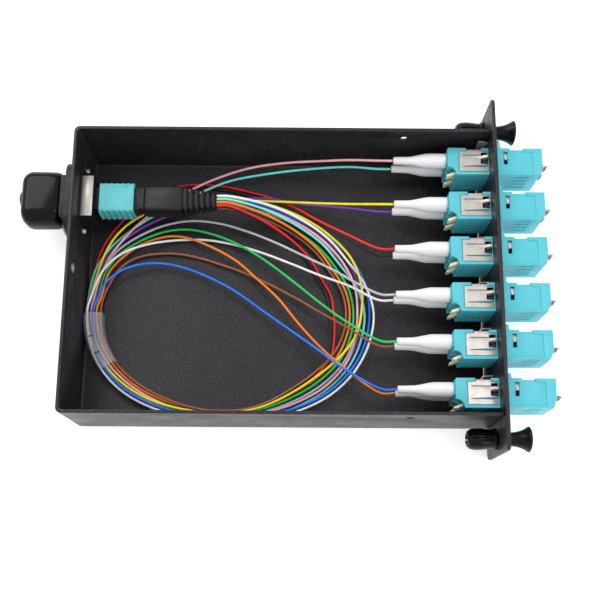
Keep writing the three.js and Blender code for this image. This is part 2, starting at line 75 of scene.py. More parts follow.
def add_camera():
    data = bpy.data.cameras.new("camera")
    data.lens = 47.01
    data.sensor_width = 36
    data.shift_y = 0.17
    data.clip_start = 0.01
    camera = bpy.data.objects.new("camera", data)
    camera.location = (0.0058247, -0.1017478, 0.286188)
    camera.rotation_euler = (0.2019, -0.0046, 0.006)
    bpy.context.scene.collection.objects.link(camera)
    bpy.context.scene.camera = camera


add_camera()

# ---------------------------------------------------------------- materials


class Graph:
    """A material's node tree, with the shader at its end."""

    def __init__(self, name):
        self.material = bpy.data.materials.new(name)
        self.material.use_nodes = True
        self.tree = self.material.node_tree
        self.shader = self.tree.nodes["Principled BSDF"]
        self.place = self.add("ShaderNodeTexCoord").outputs["Object"]

    def add(self, kind, **settings):
        node = self.tree.nodes.new(kind)
        for key, value in settings.items():
            setattr(node, key, value)
        return node

    def link(self, output, socket):
        self.tree.links.new(output, socket)

    def feed(self, name, output):
        """Drives one of the shader's sockets."""
        self.link(output, self.shader.inputs[name])

    def noise(self, size_mm, detail=3, rough=0.55, stretch=(1, 1, 1)):
        """Noise whose features are about size_mm across."""
        mapping = self.add("ShaderNodeMapping")
        mapping.inputs["Scale"].default_value = stretch
        self.link(self.place, mapping.inputs["Vector"])
        node = self.add("ShaderNodeTexNoise")
        node.inputs["Scale"].default_value = 1 / (size_mm * MM)
        node.inputs["Detail"].default_value = detail
        node.inputs["Roughness"].default_value = rough
        self.link(mapping.outputs["Vector"], node.inputs["Vector"])
        return node.outputs["Fac"]

    def ramp(self, fac, stops):
        """Maps a value through (position, colour or grey) stops."""
        node = self.add("ShaderNodeValToRGB")
        elements = node.color_ramp.elements
        while len(elements) < len(stops):
            elements.new(0.5)
        for element, (position, tone) in zip(elements, stops):
            element.position = position
            element.color = (*tone, 1) if hasattr(tone, "__len__") else (tone, tone, tone, 1)
        self.link(fac, node.inputs["Fac"])
        return node.outputs["Color"]

    def between(self, fac, low, high, margin=0.3):
        """Runs from low to high across the middle of fac."""
        return self.ramp(fac, [(margin, low), (1 - margin, high)])

    def multiply(self, a, b):
        """The product of two colours."""
        node = self.add("ShaderNodeMix", data_type="RGBA", blend_type="MULTIPLY")
        factor, first, second = node.inputs[0], node.inputs[6], node.inputs[7]
        factor.default_value = 1
        self.link(a, first)
        self.link(b, second)
        return node.outputs[2]

    def bump(self, height, strength, depth_mm, under=None):
        node = self.add("ShaderNodeBump")
        node.inputs["Strength"].default_value = strength
        node.inputs["Distance"].default_value = depth_mm * MM
        self.link(height, node.inputs["Height"])
        if under is not None:
            self.link(under, node.inputs["Normal"])
        return node.outputs["Normal"]

    def set(self, **values):
        for key, value in values.items():
            self.shader.inputs[key.replace("_", " ")].default_value = value


def shade(colour, factor):
    return tuple(min(1, channel * factor) for channel in colour)


def powder_coat():
    """Black powder coat: a fine sandy texture with paler grains, and a few rubbed patches."""
    g = Graph("powder_coat")
    grain = g.noise(0.42, 2, 0.65)
    fine = g.noise(0.16, 2, 0.6)
    cloud = g.noise(18, 3)
    speck = g.ramp(grain, [(0.38, (0.005, 0.0042, 0.0056)), (0.55, (0.016, 0.0145, 0.0185)),
                           (0.7, (0.075, 0.07, 0.084))])
    g.feed("Base Color", g.multiply(speck, g.between(cloud, 0.8, 1.15)))
    g.feed("Roughness", g.between(g.noise(9, 4), 0.36, 0.5))
    coarse = g.bump(grain, 0.55, 0.09)
    g.feed("Normal", g.bump(fine, 0.35, 0.03, coarse))
    g.set(Specular_IOR_Level=0.42)
    return g.material


def moulded(name, colour, rough, variation, grain_mm, relief, specular=0.5, subsurface=0.0):
    """A moulded plastic: slow colour drift, uneven gloss and the mould's fine texture."""
    g = Graph(name)
    dark, light = shade(colour, 1 - variation), shade(colour, 1 + variation)
    g.feed("Base Color", g.between(g.noise(6, 4), dark, light, 0.25))
    g.feed("Roughness", g.between(g.noise(2.2, 4), *rough))
    flow = g.bump(g.noise(5, 2), 0.12, 0.12)
    g.feed("Normal", g.bump(g.noise(grain_mm, 3), relief, 0.02, flow))
    g.set(Specular_IOR_Level=specular)
    if subsurface:
        g.set(Subsurface_Weight=subsurface, Subsurface_Radius=(1.0, 0.9, 0.8), Subsurface_Scale=0.0006)
    return g.material


def fibre_jacket(name, colour):
    """Smooth extruded jacket: faint drag lines, slightly uneven gloss."""
    g = Graph(name)
    g.feed("Base Color", g.between(g.noise(3.5, 3), shade(colour, 0.9), shade(colour, 1.06)))
    g.feed("Roughness", g.between(g.noise(1.2, 3), 0.26, 0.4))
    g.feed("Normal", g.bump(g.noise(0.35, 3), 0.15, 0.01))
    g.set(Specular_IOR_Level=0.5, Subsurface_Weight=0.12, Subsurface_Radius=(1.0, 1.0, 1.0),
          Subsurface_Scale=0.0003)
    return g.material


def spring_steel(name, colour, along=(1, 14, 1), rough=(0.28, 0.45)):
    """Rolled stainless strip, with its rolling lines across one axis."""
    g = Graph(name)
    lines = g.noise(2.4, 4, 0.65, along)
    g.feed("Base Color", g.between(g.noise(3, 3), shade(colour, 0.85), shade(colour, 1.08)))
    g.feed("Roughness", g.between(lines, *rough))
    g.feed("Normal", g.bump(lines, 0.2, 0.01))
    g.set(Metallic=0.6)
    return g.material


def clear_plastic(name, tint, rough, alpha):
    """A see-through plastic with a faint haze and ripple."""
    g = Graph(name)
    g.feed("Base Color", g.between(g.noise(1.5, 3), shade(tint, 0.92), shade(tint, 1.05)))
    g.feed("Roughness", g.between(g.noise(0.8, 3), rough * 0.8, rough * 1.3))
    g.feed("Normal", g.bump(g.noise(1.1, 3), 0.25, 0.03))
    g.set(Alpha=alpha, Specular_IOR_Level=0.55)
    return g.material


FIBRE_COLOURS = {
    "blue": (0.008, 0.20, 0.92),
    "orange": (1.0, 0.24, 0.012),
    "green": (0.008, 0.62, 0.11),
    "brown": (0.36, 0.115, 0.045),
    "slate": (0.56, 0.57, 0.62),
    "white": (0.95, 0.95, 0.97),
    "red": (0.86, 0.008, 0.014),
    "black": (0.010, 0.010, 0.012),
    "yellow": (1.0, 0.84, 0.004),
    "violet": (0.20, 0.05, 0.46),
    "rose": (1.0, 0.47, 0.54),
    "aqua": (0.20, 0.84, 0.76),
}
POWDER = powder_coat()
AQUA = moulded("aqua_plastic", (0.098, 0.565, 0.66), (0.34, 0.46), 0.07, 0.6, 0.2, subsurface=0.08)
AQUA_SLEEVE = moulded("aqua_sleeve_plastic", (0.11, 0.53, 0.57), (0.4, 0.55), 0.08, 0.5, 0.3)
WHITE = moulded("white_boot_plastic", (0.88, 0.86, 0.89), (0.42, 0.55), 0.04, 0.7, 0.15, subsurface=0.15)
IVORY = moulded("ivory_plastic", (0.93, 0.86, 0.60), (0.38, 0.5), 0.08, 0.5, 0.2, subsurface=0.15)
BLACK = moulded("black_nylon", (0.010, 0.009, 0.011), (0.38, 0.52), 0.2, 0.45, 0.4, specular=0.34)
BLACK_GLOSS = moulded("black_rubber", (0.004, 0.0035, 0.0042), (0.11, 0.18), 0.2, 1.2, 0.06, specular=0.19)
BLACK_KNOB = moulded("black_acetal", (0.0035, 0.003, 0.0038), (0.2, 0.3), 0.2, 0.8, 0.12, specular=0.22)
# near-black strips on the film: painted shade along the clear film's creases
CREASE_SHADE = moulded("film_crease_shade", (0.02, 0.022, 0.05), (0.3, 0.4), 0.2, 0.5, 0.2)
PLUG = clear_plastic("cloudy_plastic", (0.42, 0.44, 0.43), 0.4, 0.85)
FILM = clear_plastic("clear_film", (0.62, 0.66, 0.72), 0.16, 0.22)
CLIP = spring_steel("clip_steel", (0.66, 0.61, 0.57))
BAND = spring_steel("band_steel", (0.74, 0.69, 0.62), (14, 1, 1))
SCREW = spring_steel("screw_steel", (0.6, 0.6, 0.6), (1, 1, 1), (0.2, 0.35))
NUT = spring_steel("black_nut_steel", (0.06, 0.058, 0.06), (1, 1, 1), (0.14, 0.26))
JACKETS = {name: fibre_jacket(f"jacket_{name}", colour) for name, colour in FIBRE_COLOURS.items()}

# ---------------------------------------------------------------- mesh building


def link_mesh(name, mesh):
    made = bpy.data.objects.new(name, mesh)
    bpy.context.scene.collection.objects.link(made)
    return made


def from_bmesh(name, bm):
    bmesh.ops.recalc_face_normals(bm, faces=bm.faces)
    mesh = bpy.data.meshes.new(name)
    bm.to_mesh(mesh)
    bm.free()
    return link_mesh(name, mesh)


def raise_outline(name, outline, low, high, place):
    """A closed prism on an outline; place(a, b, h) gives the point in millimetres."""
    bm = bmesh.new()
    rings = [[bm.verts.new(Vector(place(a, b, h)) * MM) for a, b in outline] for h in (low, high)]
    bm.faces.new(rings[0])
    bm.faces.new(rings[1])
    count = len(outline)
    for i in range(count):
        j = (i + 1) % count
        bm.faces.new((rings[0][i], rings[0][j], rings[1][j], rings[1][i]))
    return from_bmesh(name, bm)


def plan_prism(name, outline, low, high):
    """An outline in X and Y, raised from z low to z high."""
    return raise_outline(name, outline, low, high, lambda a, b, h: (a, b, h))


def end_prism(name, outline, low, high):
    """An outline in Y and Z, run from x low to x high."""
    return raise_outline(name, outline, low, high, lambda a, b, h: (h, a, b))


def side_prism(name, outline, low, high):
    """An outline in X and Z, run from y low to y high."""
    return raise_outline(name, outline, low, high, lambda a, b, h: (a, h, b))


def block(name, low, high):
    (x0, y0, z0), (x1, y1, z1) = low, high
    return plan_prism(name, [(x0, y0), (x1, y0), (x1, y1), (x0, y1)], z0, z1)


def bar(name, x0, x1, y, z, half_y, half_z):
    """A block along X, about (y, z)."""
    return block(name, (x0, y - half_y, z - half_z), (x1, y + half_y, z + half_z))


def rounded(half_a, half_b, radius, a=0, b=0, steps=6):
    """A rounded rectangle's outline about (a, b)."""
    points = []
    for sa, sb, start in ((1, 1, 0), (-1, 1, 90), (-1, -1, 180), (1, -1, 270)):
        for i in range(steps + 1):
            t = math.radians(start + 90 * i / steps)
            points.append((a + sa * (half_a - radius) + radius * math.cos(t),
                           b + sb * (half_b - radius) + radius * math.sin(t)))
    return points


def turned(name, profile, y, z, sides=40):
    """A profile of (x, radius) turned about a line along X; radius 0 closes an end."""
    bm = bmesh.new()
    rings = []
    for x, radius in profile:
        if radius == 0:
            rings.append([bm.verts.new(Vector((x, y, z)) * MM)])
            continue
        rings.append([
            bm.verts.new(Vector((x, y + radius * math.cos(t), z + radius * math.sin(t))) * MM)
            for t in (2 * math.pi * i / sides for i in range(sides))
        ])
    closed = profile[0][1] and profile[-1][1]
    pairs = list(zip(rings, rings[1:])) + ([(rings[-1], rings[0])] if closed else [])
    for one, two in pairs:
        for i in range(sides):
            j = (i + 1) % sides
            corners = [one[i % len(one)], one[j % len(one)], two[j % len(two)], two[i % len(two)]]
            bm.faces.new(list(dict.fromkeys(corners)))
    return from_bmesh(name, bm)


def rod(name, x0, x1, radius, y, z, sides=24):
    return turned(name, [(x0, 0), (x0, radius), (x1, radius), (x1, 0)], y, z, sides)


def combine(base, tools, operation):
    """Joins, cuts or crosses base with each tool, which is used up."""
    for tool in tools:
        modifier = base.modifiers.new("boolean", "BOOLEAN")
        modifier.operation = operation
        modifier.solver = "EXACT"
        modifier.object = tool
        apply_modifiers(base)
        bpy.data.objects.remove(tool)
    return base


def apply_modifiers(piece):
    graph = bpy.context.evaluated_depsgraph_get()
    mesh = bpy.data.meshes.new_from_object(piece.evaluated_get(graph))
    piece.modifiers.clear()
    piece.data = mesh


def cut(base, *tools):
    return combine(base, tools, "DIFFERENCE")


def join(base, *tools):
    return combine(base, tools, "UNION")


def finish_edges(piece, width=0.2, segments=2, angle=35):
    """Rounds the hard edges and shades the rest smooth."""
    if width:
        bevel = piece.modifiers.new("edge_round", "BEVEL")
        bevel.width = width * MM
        bevel.segments = segments
        bevel.limit_method = "ANGLE"
        bevel.angle_limit = math.radians(angle)
        apply_modifiers(piece)
    piece.data.shade_smooth()
    piece.data.set_sharp_from_angle(angle=math.radians(angle))
    return piece


def settle(piece, body, slot, node=None):
    """Gives a piece its body and hides the CAD node it stands for. The slot is not used."""
    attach(piece, body)
    if node:
        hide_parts(node)


def dress(piece, material, body, slot, node=None):
    """Settles a finished piece and gives it its material."""
    piece.data.materials.clear()
    piece.data.materials.append(material)
    settle(piece, body, slot, node)


def copy_to(piece, name, offset):
    """A second object on the same mesh, moved by millimetres."""
    twin = link_mesh(name, piece.data)
    twin.location = Vector(offset) * MM
    return twin


# ---------------------------------------------------------------- fibres

# The same routes as the CAD model's, in millimetres: twelve 0.9 mm fibres leave the trunk boot in four
# columns of three, circle the tray once on an ellipse and cross it to their ports.
FIBRE_RADIUS = 0.45
FIBRE_EXIT = -24.7
FIBRE_END = 40.7
SLOT_COLUMN = 1.3
SLOT_ROW = 1.15
STRAIGHT = 5
LOOP_X, LOOP_Y, LOOP_HALF_X, LOOP_HALF_Y = -20.5, -9.5, 51.5, 39.5
LOOP_STEP = 15
STATIONS = [90, 60, 30, 0, -45, -90, -135, -180]
ROUTES = {
    "blue": {
        "slot": [0, 2],
        "offsets": [3, 3, 1.8, 3, 1, 2.4, -1.1],
        "heights": [3.4, 2.85, 2.85, 3.95, 5.05, 6.15, 5.05],
        "lead": [
            [-69.3, -4.3, 5.05], [-67.6, 0.2, 5.05], [-64.6, 3.7, 5.05], [-59.5, 7.1, 4.9],
            [-52, 9.2, 4.5], [-45.3, 9.3, 4.3], [-38.4, 7.9, 4.4], [-28.5, 4, 4.8],
            [-17.9, -1.9, 5.4], [-6.9, -10.2, 6.4], [3.7, -18.3, 8.2], [13.2, -26, 11],
            [21, -32.8, 14.2],
        ],
        "port": [6, "upper"],
    },
    "orange": {
        "slot": [2, 0],
        "offsets": [-2.6, -5.6, -5.6, -4.2, -1.67, -1.1, -2.3],
        "heights": [6.6, 2.85, 2.85, 2.85, 2.85, 2.85, 4.83],
        "lead": [
            [-68.4, -4.1, 4.3], [-66.2, 6.4, 3], [-61, 12.8, 2.85], [-55, 17.3, 2.9],
            [-48.6, 19.9, 3.2], [-42.8, 20.7, 3.9], [-36.8, 19.8, 4.4], [-28.9, 16.7, 4.8],
            [-18.2, 10.6, 5.2], [-9.8, 3.1, 5.4], [-1.7, -4.8, 5.9], [5.5, -14.2, 6.9],
            [13.2, -23.4, 8.4], [21.2, -31.1, 10],
        ],
        "port": [6, "lower"],
    },
    "green": {
        "slot": [2, 1],
        "offsets": [-2, -4.2, -4.2, -2.6, -0.65, 0.25, -1.75],
        "heights": [5.2, 2.85, 2.85, 2.85, 2.85, 2.85, 2.85],
        "lead": [
            [-69.9, -3.6, 2.85], [-67.6, 6.5, 2.85], [-63.1, 13.2, 2.85], [-57.8, 17.3, 2.85],
            [-50.8, 21.1, 2.9], [-43, 23.3, 3.3], [-35.1, 23.4, 3.7], [-25.1, 20.8, 4.2],
            [-16.5, 16.7, 4.8], [-7.2, 10.6, 5.8], [3.5, 1.6, 7.8], [13.9, -8, 10.6],
            [23.2, -16.1, 14],
        ],
        "port": [5, "upper"],
    },
    "brown": {
        "slot": [3, 2],
        "offsets": [-3.2, -7, -7, -6, -1.3, -2.3, -3.3],
        "heights": [3.9, 2.85, 2.85, 3.95, 3.95, 3.95, 2.85],
        "lead": [
            [-67.9, -3.6, 2.85], [-65.7, 2, 2.85], [-62.8, 7.1, 2.8], [-59.4, 10.5, 2.6],
            [-54.6, 12.9, 2.4], [-48.7, 14, 2.4], [-40.8, 14.1, 2.4], [-33, 12.7, 2.4],
            [-25, 10.2, 2.6], [-16.4, 7, 3], [-7.2, 2.7, 3.4], [5.2, -4.3, 4.6],
            [14, -10.2, 6.4], [23.9, -16.8, 9],
        ],
        "port": [5, "lower"],
    },
    "slate": {
        "slot": [2, 2],
        "offsets": [0.5, -0.8, -2.7, -0.8, 0.35, 1.3, -0.6],
        "heights": [4.4, 2.85, 2.85, 2.85, 2.85, 2.85, 2.85],
        "lead": [
            [-71.1, -3.6, 2.85], [-69, 6.5, 2.85], [-65, 13.4, 2.85], [-60.2, 17.9, 2.85],
            [-52.9, 22.5, 2.9], [-45.1, 25.8, 2.9], [-35.3, 27.4, 3.1], [-24.5, 26.1, 3.6],
            [-12.8, 22.1, 4.7], [-2, 17, 6.1], [8.7, 10.8, 8.3], [19.1, 4.2, 11.8],
            [26.2, -1.2, 14.7],
        ],
        "port": [4, "upper"],
    },
    "white": {
        "slot": [0, 0],
        "offsets": [1.7, 0.6, 3.3, 4.4, 2.2, 3.6, 1.2],
        "heights": [8.6, 5.05, 3.95, 3.95, 5.05, 5.16, 5.11],
        "lead": [
            [-72.1, -4.4, 5.05], [-69, 4.8, 5.05], [-64.7, 10.4, 5.05], [-59.1, 14.2, 5.05],
            [-52.3, 16.9, 4.5], [-44.8, 18.9, 3.3], [-37.1, 19.7, 2.85], [-29.1, 19.6, 2.8],
            [-18.2, 17.6, 3], [-7.3, 13.8, 4], [3.4, 9.1, 5.4], [14, 3.9, 7.4],
            [24.3, -0.8, 9.7],
        ],
        "port": [4, "lower"],
    },
    "red": {
        "slot": [3, 0],
        "offsets": [-6, -11, -11.6, -5, 0, 2.2, 1.7],
        "heights": [5.6, 1.9, 1.75, 1.75, 1.75, 1.75, 1.75],
        "lead": [
            [-73.9, -3.2, 1.75], [-72.2, 6.8, 1.75], [-69.5, 16.6, 1.75], [-63.9, 26, 1.75],
            [-56.1, 34.2, 1.75], [-48.5, 39.7, 1.75], [-38.9, 42.8, 1.75], [-24.3, 42.6, 1.8],
            [-14.4, 40.4, 1.9], [-4.9, 37.4, 2.6], [2.8, 33.5, 4.2], [13.2, 25.7, 8.2],
            [23.5, 18.1, 13.2],
        ],
        "port": [3, "upper"],
    },
    "black": {
        "slot": [3, 1],
        "offsets": [-6.3, -12.5, -13.2, -6.4, -1.2, 1, 0.5],
        "heights": [3.6, 1.75, 1.75, 1.75, 1.75, 1.75, 1.75],
        "lead": [
            [-72.7, -3.2, 1.75], [-70.9, 7.3, 1.75], [-67.8, 16.9, 1.75], [-62.6, 24.7, 1.75],
            [-55.6, 32.5, 1.75], [-48.1, 38, 1.75], [-38.4, 41.2, 1.75], [-24.3, 41.1, 1.8],
            [-14.3, 38.7, 1.9], [-5.4, 35.8, 2.4], [3.2, 31.9, 3.6], [14, 25.1, 6.4],
            [23.7, 18.3, 9.2],
        ],
        "port": [3, "lower"],
    },
    "yellow": {
        "slot": [0, 1],
        "offsets": [3, 2, -1.4, -4, -0.5, 1.2, 1.4],
        "heights": [7.4, 6.15, 6.15, 6.15, 5.05, 5.05, 3.95],
        "lead": [
            [-72.6, -4, 3.95], [-70.5, 5.2, 3.95], [-67.8, 13.8, 4.1], [-64.2, 20.3, 4.4],
            [-58.9, 25.5, 5.1], [-49.5, 30.8, 5.5], [-36.1, 33.9, 5.2], [-22.7, 35.4, 5],
            [-11.1, 35, 5.2], [-4.5, 34.4, 5.8], [4.4, 33.4, 7.4], [14.6, 31.6, 10.4],
            [25, 29.7, 13.9],
        ],
        "port": [2, "upper"],
    },
    "violet": {
        "slot": [1, 2],
        "offsets": [1.8, 0.8, -1.5, 0.4, 1.35, 2.35, 0.55],
        "heights": [4.2, 2.85, 2.85, 2.85, 2.85, 2.85, 2.85],
        "lead": [
            [-72.3, -3.6, 2.85], [-70.4, 6.4, 2.85], [-66.7, 13.3, 2.85], [-62.5, 18.3, 2.85],
            [-55.8, 23.7, 2.85], [-48.4, 27.9, 2.85], [-36.4, 32.5, 2.95], [-22.9, 36, 3.3],
            [-11.2, 36.6, 4], [-3.4, 35.8, 4.6], [6.3, 33.5, 5.8], [17.3, 31.5, 7.9],
            [27.5, 29.5, 10.2],
        ],
        "port": [2, "lower"],
    },
    "rose": {
        "slot": [1, 1],
        "offsets": [0.3, -1.3, -2.9, 0.6, 0.6, 0, -0.1],
        "heights": [6.9, 5.05, 5.05, 3.95, 3.95, 3.95, 3.95],
        "lead": [
            [-71.1, -4, 3.95], [-69, 5.2, 3.95], [-65.6, 12.9, 3.95], [-60.8, 19.9, 3.95],
            [-54.5, 26.9, 3.9], [-46, 33.6, 3.9], [-34.9, 40.4, 4.2], [-24.1, 45, 5.2],
            [-13.1, 47.5, 7.4], [-0, 48.1, 10.4], [13.9, 47.2, 13.8], [25, 46.4, 16.2],
        ],
        "port": [1, "upper"],
    },
    "aqua": {
        "slot": [1, 0],
        "offsets": [-1, -2.4, -0.2, 1.7, 2.35, 3.4, 1.7],
        "heights": [8, 3.95, 3.95, 2.85, 2.85, 2.85, 2.85],
        "lead": [
            [-73.5, -3.6, 2.85], [-71.8, 6.4, 2.85], [-68.3, 13.3, 2.85], [-64.4, 18.3, 2.85],
            [-58.1, 23.9, 2.85], [-51, 29.1, 2.85], [-42.3, 34.6, 2.9], [-31.1, 39.6, 3.6],
            [-21.4, 43.3, 4.6], [-7.6, 45.4, 6.4], [8.6, 46.4, 8.8], [24.7, 46.5, 10.8],
        ],
        "port": [1, "lower"],
    },
}


def port_y(number):
    return PORT_PITCH * ((PORTS + 1) / 2 - number)


def ease(t):
    return (1 - math.cos(math.pi * t)) / 2


def at_station(values, angle):
    """The value at an angle, between the values given at the stations."""
    for start, end, first, last in zip(STATIONS, STATIONS[1:], values, values[1:]):
        if start >= angle >= end:
            return first + (last - first) * ease((start - angle) / (start - end))


def on_loop(angle, offset, z):
    a = math.radians(angle)
    return Vector((LOOP_X + (LOOP_HALF_X + offset) * math.cos(a),
                   LOOP_Y + (LOOP_HALF_Y + offset) * math.sin(a), z))


def route_points(route):
    column, row = route["slot"]
    start_offset = (1.5 - column) * SLOT_COLUMN
    start_height = TRUNK_Z + (1 - row) * SLOT_ROW
    points = [Vector((FIBRE_EXIT, TRUNK_Y + start_offset, start_height))]
    for angle in range(STATIONS[0], STATIONS[-1] - 1, -LOOP_STEP):
        offset = at_station([start_offset, *route["offsets"]], angle)
        height = at_station([start_height, *route["heights"]], angle)
        points.append(on_loop(angle, offset, height))
    points += [Vector(p) for p in route["lead"]]
    number, level = route["port"]
    y, z = port_y(number) + PORT_SHIFT, LEVELS[level]
    points += [Vector((x, y, z)) for x in (FIBRE_END - STRAIGHT, FIBRE_END)]
    return points


def smooth_line(points, steps=7):
    """A centripetal Catmull-Rom curve through the points."""
    first, last = points[0] * 2 - points[1], points[-1] * 2 - points[-2]
    chain = [first, *points, last]
    line = []
    for p0, p1, p2, p3 in zip(chain, chain[1:], chain[2:], chain[3:]):
        d0, d1, d2 = ((b - a).length ** 0.5 for a, b in ((p0, p1), (p1, p2), (p2, p3)))
        t1 = ((p1 - p0) / d0 - (p2 - p0) / (d0 + d1) + (p2 - p1) / d1) * d1
        t2 = ((p2 - p1) / d1 - (p3 - p1) / (d1 + d2) + (p3 - p2) / d2) * d1
        for i in range(steps):
            t = i / steps
            square, cube = 3 * (p2 - p1) - 2 * t1 - t2, 2 * (p1 - p2) + t1 + t2
            line.append(p1 + t1 * t + square * t**2 + cube * t**3)
    return [*line, points[-1]]


def add_fibre(name, route):
    line = smooth_line(route_points(route))
    curve = bpy.data.curves.new(f"fibre_{name}", "CURVE")
    curve.dimensions = "3D"
    curve.bevel_depth = FIBRE_RADIUS * MM
    curve.bevel_resolution = 3
    curve.use_fill_caps = True
    spline = curve.splines.new("POLY")
    spline.points.add(len(line) - 1)
    for point, place in zip(spline.points, line):
        point.co = (*(place * MM), 1)
    spline.use_smooth = True
    piece = bpy.data.objects.new(f"jacketed_fibre_{name}", curve)
    bpy.context.scene.collection.objects.link(piece)
    curve.materials.append(JACKETS[name])
    settle(piece, ROOT, f"fibre_{name}", f"fibre_{name}")
    length = sum((b - a).length for a, b in zip(line, line[1:]))


for fibre, fibre_route in ROUTES.items():
    add_fibre(fibre, fibre_route)


def add_wrap():
    """The clear film over the bundle: an arch that is open towards the floor, with slack creases."""
    steps, from_angle, to_angle = 44, -178, -147
    from_offset, to_offset, half, film = -1.15, 0.35, 3.5, 0.15
    foot, top, corner = 1.5, 6.85, 1.9
    bm = bmesh.new()
    rings = []
    for i in range(steps + 1):
        t = i / steps
        angle = from_angle + (to_angle - from_angle) * t
        middle = from_offset + (to_offset - from_offset) * t
        crease = 0.1 * math.sin(t * 47) * math.sin(t * 13 + 1)
        ring = []
        for grow in (0, film):
            side, roof = half + grow - abs(crease) * 0.5, top + grow - 0.12 + crease
            outline = [(-side, foot)]
            for k in range(7):
                a = math.radians(90 * k / 6)
                outline.append((-side + corner * (1 - math.cos(a)), roof - corner * (1 - math.sin(a))))
            outline += [(-a, z) for a, z in reversed(outline)]
            ring.append([bm.verts.new(on_loop(angle, middle + a, z) * MM) for a, z in outline])
        rings.append(ring)
    for one, two in zip(rings, rings[1:]):
        for layer in (0, 1):
            for k in range(len(one[layer]) - 1):
                bm.faces.new((one[layer][k], one[layer][k + 1], two[layer][k + 1], two[layer][k]))
        for k in (0, -1):
            bm.faces.new((one[0][k], one[1][k], two[1][k], two[0][k]))
    for ring in (rings[0], rings[-1]):
        for k in range(len(ring[0]) - 1):
            bm.faces.new((ring[0][k], ring[0][k + 1], ring[1][k + 1], ring[1][k]))
    wrap = from_bmesh("film_wrap", bm)
    wrap.data.shade_smooth()
    dress(wrap, FILM, ROOT, "clear_film", "fibre_wrap")


def add_wrap_crease_shade():
    """Two near-black strips across the outer half of the film: painted shade along its creases."""
    for label, angle, from_offset, to_offset in (("far", -164.6, -0.6, 1.7), ("near", -155.2, -0.4, 1.9)):
        bm = bmesh.new()
        rings = []
        for i in range(9):
            t = i / 8
            offset = from_offset + (to_offset - from_offset) * t
            z = 7.06 - 0.25 * (2 * t - 1) ** 4
            width = 0.5 * (1 - 0.5 * (2 * t - 1) ** 2)
            rings.append([bm.verts.new(on_loop(angle + turn * width, offset, z + lift) * MM)
                          for turn, lift in ((-0.5, 0), (0.5, 0), (0.5, 0.09), (-0.5, 0.09))])
        for one, two in zip(rings, rings[1:]):
            for k in range(4):
                bm.faces.new((one[k], one[(k + 1) % 4], two[(k + 1) % 4], two[k]))
        bm.faces.new(rings[0])
        bm.faces.new(rings[-1])
        tick = from_bmesh(f"wrap_crease_shade_{label}", bm)
        tick.data.shade_smooth()
        # the strips' near-black colour is painted shade in the film's creases
        dress(tick, CREASE_SHADE, ROOT, "clear_film")


add_wrap()
add_wrap_crease_shade()

# ---------------------------------------------------------------- tray and plate


def add_tray():
    """The folded tray: an outer shell, less its inside and its holes."""
    low, high = cad("tray")

    def shell(name, inset, z0, z1, radius, front, floor_round):
        x0, y0, y1 = low.x + inset, low.y + inset, high.y - inset
        outline = [(front, y1)]
        for cy, start in ((y1 - radius, 90), (y0 + radius, 180)):
            outline += [(x0 + radius + radius * math.cos(math.radians(start + 15 * i)),
                         cy + radius * math.sin(math.radians(start + 15 * i))) for i in range(7)]
        outline.append((front, y0))
        piece = plan_prism(name, outline, z0, z1)
        bm = bmesh.new()
        bm.from_mesh(piece.data)
        foot = [e for e in bm.edges if all(abs(v.co.z - z0 * MM) < 1e-7 for v in e.verts)
                and not all(abs(v.co.x - front * MM) < 1e-7 for v in e.verts)]
        bmesh.ops.bevel(bm, geom=foot, offset=floor_round * MM, segments=4, profile=0.5, affect="EDGES")
        bm.to_mesh(piece.data)
        bm.free()
        return piece

    outer_corner, inner_corner, floor_round = 2.0, 1.4, 0.9
    tray = shell("folded_tray", 0, low.z, high.z, outer_corner, high.x, floor_round)
    inside = shell("inside", SHEET, low.z + SHEET, high.z + 2, inner_corner, high.x + 5, floor_round)
    rear = (low.x - 1, low.x + 3)
    holes = [bar("window", *rear, TRUNK_Y, TRUNK_Z, 8.5, 5.6),
             rod("rear_hole", *rear, 1.2, REAR_HOLE_Y, REAR_HOLE_Z)]
    holes += [rod("flange_hole", *rear, 1.25, TRUNK_Y + side * FLANGE_SCREW_SPAN, TRUNK_Z)
              for side in (-1, 1)]
    lid_hole_x, lid_hole_z, lid_hole_radius = 44.5, 22, 1.3
    for y in (low.y, high.y):
        drill = rod("drill", y - 3, y + 3, lid_hole_radius, 0, 0)
        drill.data.transform(Matrix.Rotation(math.radians(90), 4, "Z"))
        drill.data.transform(Matrix.Translation(Vector((lid_hole_x, 0, lid_hole_z)) * MM))
        holes.append(drill)
    cut(tray, inside, *holes)
    finish_edges(tray, 0.28, 2)
    dress(tray, POWDER, ROOT, "tray_steel", "tray")


def add_front_plate():
    low, high = cad("front_plate")
    middle_z = (low.z + high.z) / 2
    plate = end_prism("eared_plate", rounded(high.y, (high.z - low.z) / 2, 2.2, 0, middle_z), low.x, high.x)
    through = (low.x - 1, high.x + 1)
    windows = [bar("window", *through, port_y(number), PORT_Z, 5.6, 6.8)
               for number in range(1, PORTS + 1)]
    holes = [rod("hole", *through, 2.75, side * PLUNGER_Y, PORT_Z) for side in (-1, 1)]
    cut(plate, *windows, *holes)
    finish_edges(plate, 0.3, 2)
    dress(plate, POWDER, ROOT, "tray_steel", "front_plate")


def add_rear_insert():
    """The pressed insert in the rear wall's small hole."""
    wall = cad("tray")[0].x + SHEET
    profile = [(-0.9, 1.15), (0.02, 1.15), (0.02, 1.7), (0.18, 1.6), (0.25, 1.3), (0.25, 0.75), (-0.9, 0.75)]
    ring = turned("rear_insert", [(wall + x, radius) for x, radius in profile],
                  REAR_HOLE_Y, REAR_HOLE_Z, 36)
    finish_edges(ring, 0.06, 1)
    dress(ring, SCREW, ROOT, "screw_steel")


add_tray()
add_front_plate()
add_rear_insert()

# ---------------------------------------------------------------- duplex adapters

TOP, BOTTOM = PORT_Z + 6.5, PORT_Z - 6.5
PORT_HALF = 2.25  # half the width of a connector, and of a plug's post


